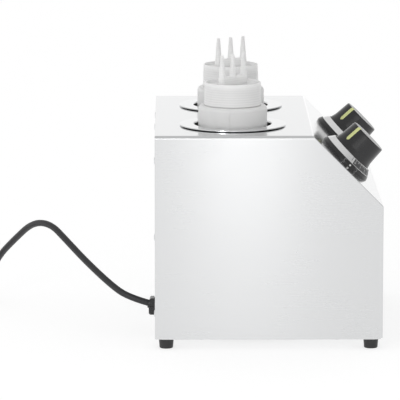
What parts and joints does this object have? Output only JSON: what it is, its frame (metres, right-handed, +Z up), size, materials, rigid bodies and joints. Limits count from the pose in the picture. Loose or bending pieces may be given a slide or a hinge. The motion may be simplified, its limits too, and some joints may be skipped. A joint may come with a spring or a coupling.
{
  "type": "hot topping bottle warmer",
  "caption": "Countertop warmer with a sloped control panel, heated wells holding lift-out pots, and squeeze bottles with multi-nozzle caps.",
  "frame": {"origin": "on the surface it stands on, under the middle of the box round the warmer without its cord", "axes": "+X towards the front with the controls, +Y along the row of wells, +Z up"},
  "size_m": [0.5898, 0.3405, 0.3161],
  "materials": {
    "stainless_case": "satin stainless sheet",
    "stainless_drawn": "drawn stainless, bright inside",
    "zinc_screw": "bright zinc-plated steel",
    "band_steel": "heat-tinted steel band",
    "glass_wool": "compressed glass-wool blanket",
    "switch_case": "black phenolic",
    "copper_tube": "copper capillary",
    "black_moulding": "black satin moulding",
    "smoked_lens": "smoked lens with a white dot",
    "silver_scale": "satin anodised, printed marks",
    "pointer_cream": "pale yellow-green inlay",
    "spindle_steel": "plated",
    "bottle_plastic": "translucent white polyethylene",
    "cap_plastic": "white polypropylene",
    "seal_rubber": "natural silicone",
    "foot_rubber": "black rubber",
    "terminal_nylon": "natural nylon",
    "brass_plain": "turned brass",
    "cord_pvc": "dark grey jacket",
    "plug_pvc": "black moulded PVC",
    "tie_nylon": "black nylon strap"
  },
  "bodies": {
    "warmer": {"casing_shell": "stainless_case", "rear_panel": "stainless_case", "rear_panel_screws": "zinc_screw", "base_plate": "stainless_case", "base_plate_screws": "zinc_screw", "rubber_feet": "foot_rubber", "foot_screws": "zinc_screw", "well_nuts": "zinc_screw", "clamp_bolts": "zinc_screw", "thermal_cutouts": "switch_case", "bulb_clips": "spindle_steel", "control_screws": "zinc_screw", "terminal_block": "terminal_nylon", "block_screws": "zinc_screw", "earth_stud": "brass_plain", "cord_gland": "black_moulding", "cord_lead": "cord_pvc", "cord_coil": "cord_pvc", "coil_tie": "tie_nylon", "plug_body": "plug_pvc", "plug_pins": "brass_plain", "well_near": "stainless_drawn", "well_far": "stainless_drawn", "heater_band_near": "band_steel", "heater_band_far": "band_steel", "insulation_near": "glass_wool", "insulation_far": "glass_wool", "thermostat_near": "switch_case", "thermostat_far": "switch_case", "capillary_near": "copper_tube", "capillary_far": "copper_tube", "bezel_near": "black_moulding", "bezel_far": "black_moulding", "index_window_near": "smoked_lens", "index_window_far": "smoked_lens", "scale_ring_near": "silver_scale", "scale_ring_far": "silver_scale"},
    "control_near": {"spindle_near": "spindle_steel", "knob_near": "black_moulding", "knob_pointer_near": "pointer_cream"},
    "pot_near": {"pot_near": "stainless_drawn"},
    "bottle_near": {"bottle_near": "bottle_plastic"},
    "seal_near": {"cap_seal_near": "seal_rubber"},
    "cap_near": {"nozzle_cap_near": "cap_plastic"},
    "control_far": {"spindle_far": "spindle_steel", "knob_far": "black_moulding", "knob_pointer_far": "pointer_cream"},
    "pot_far": {"pot_far": "stainless_drawn"},
    "bottle_far": {"bottle_far": "bottle_plastic"},
    "seal_far": {"cap_seal_far": "seal_rubber"},
    "cap_far": {"nozzle_cap_far": "cap_plastic"}
  },
  "joints": [
    {"name": "knob_turn_near", "type": "hinge", "parent": "warmer", "child": "control_near", "pos_m": [0.08613, -0.077, 0.19829], "axis": [0.7103, 0, 0.7039], "range_deg": [-194, 106]},
    {"name": "pot_lift_near", "type": "slide", "parent": "warmer", "child": "pot_near", "axis": [0, 0, 1], "range_m": [0, 0.185]},
    {"name": "bottle_lift_near", "type": "slide", "parent": "pot_near", "child": "bottle_near", "axis": [0, 0, 1], "range_m": [0, 0.185]},
    {"name": "cap_lift_near", "type": "slide", "parent": "bottle_near", "child": "seal_near", "axis": [0, 0, 1], "range_m": [0, 0.03]},
    {"name": "cap_turn_near", "type": "hinge", "parent": "seal_near", "child": "cap_near", "pos_m": [-0.03858, -0.077, 0.277], "axis": [0, 0, 1], "range_deg": [0, 450]},
    {"name": "knob_turn_far", "type": "hinge", "parent": "warmer", "child": "control_far", "pos_m": [0.08613, 0.077, 0.19829], "axis": [0.7103, 0, 0.7039], "range_deg": [-194, 106]},
    {"name": "pot_lift_far", "type": "slide", "parent": "warmer", "child": "pot_far", "axis": [0, 0, 1], "range_m": [0, 0.185]},
    {"name": "bottle_lift_far", "type": "slide", "parent": "pot_far", "child": "bottle_far", "axis": [0, 0, 1], "range_m": [0, 0.185]},
    {"name": "cap_lift_far", "type": "slide", "parent": "bottle_far", "child": "seal_far", "axis": [0, 0, 1], "range_m": [0, 0.03]},
    {"name": "cap_turn_far", "type": "hinge", "parent": "seal_far", "child": "cap_far", "pos_m": [-0.03858, 0.077, 0.277], "axis": [0, 0, 1], "range_deg": [0, 450]}
  ]
}
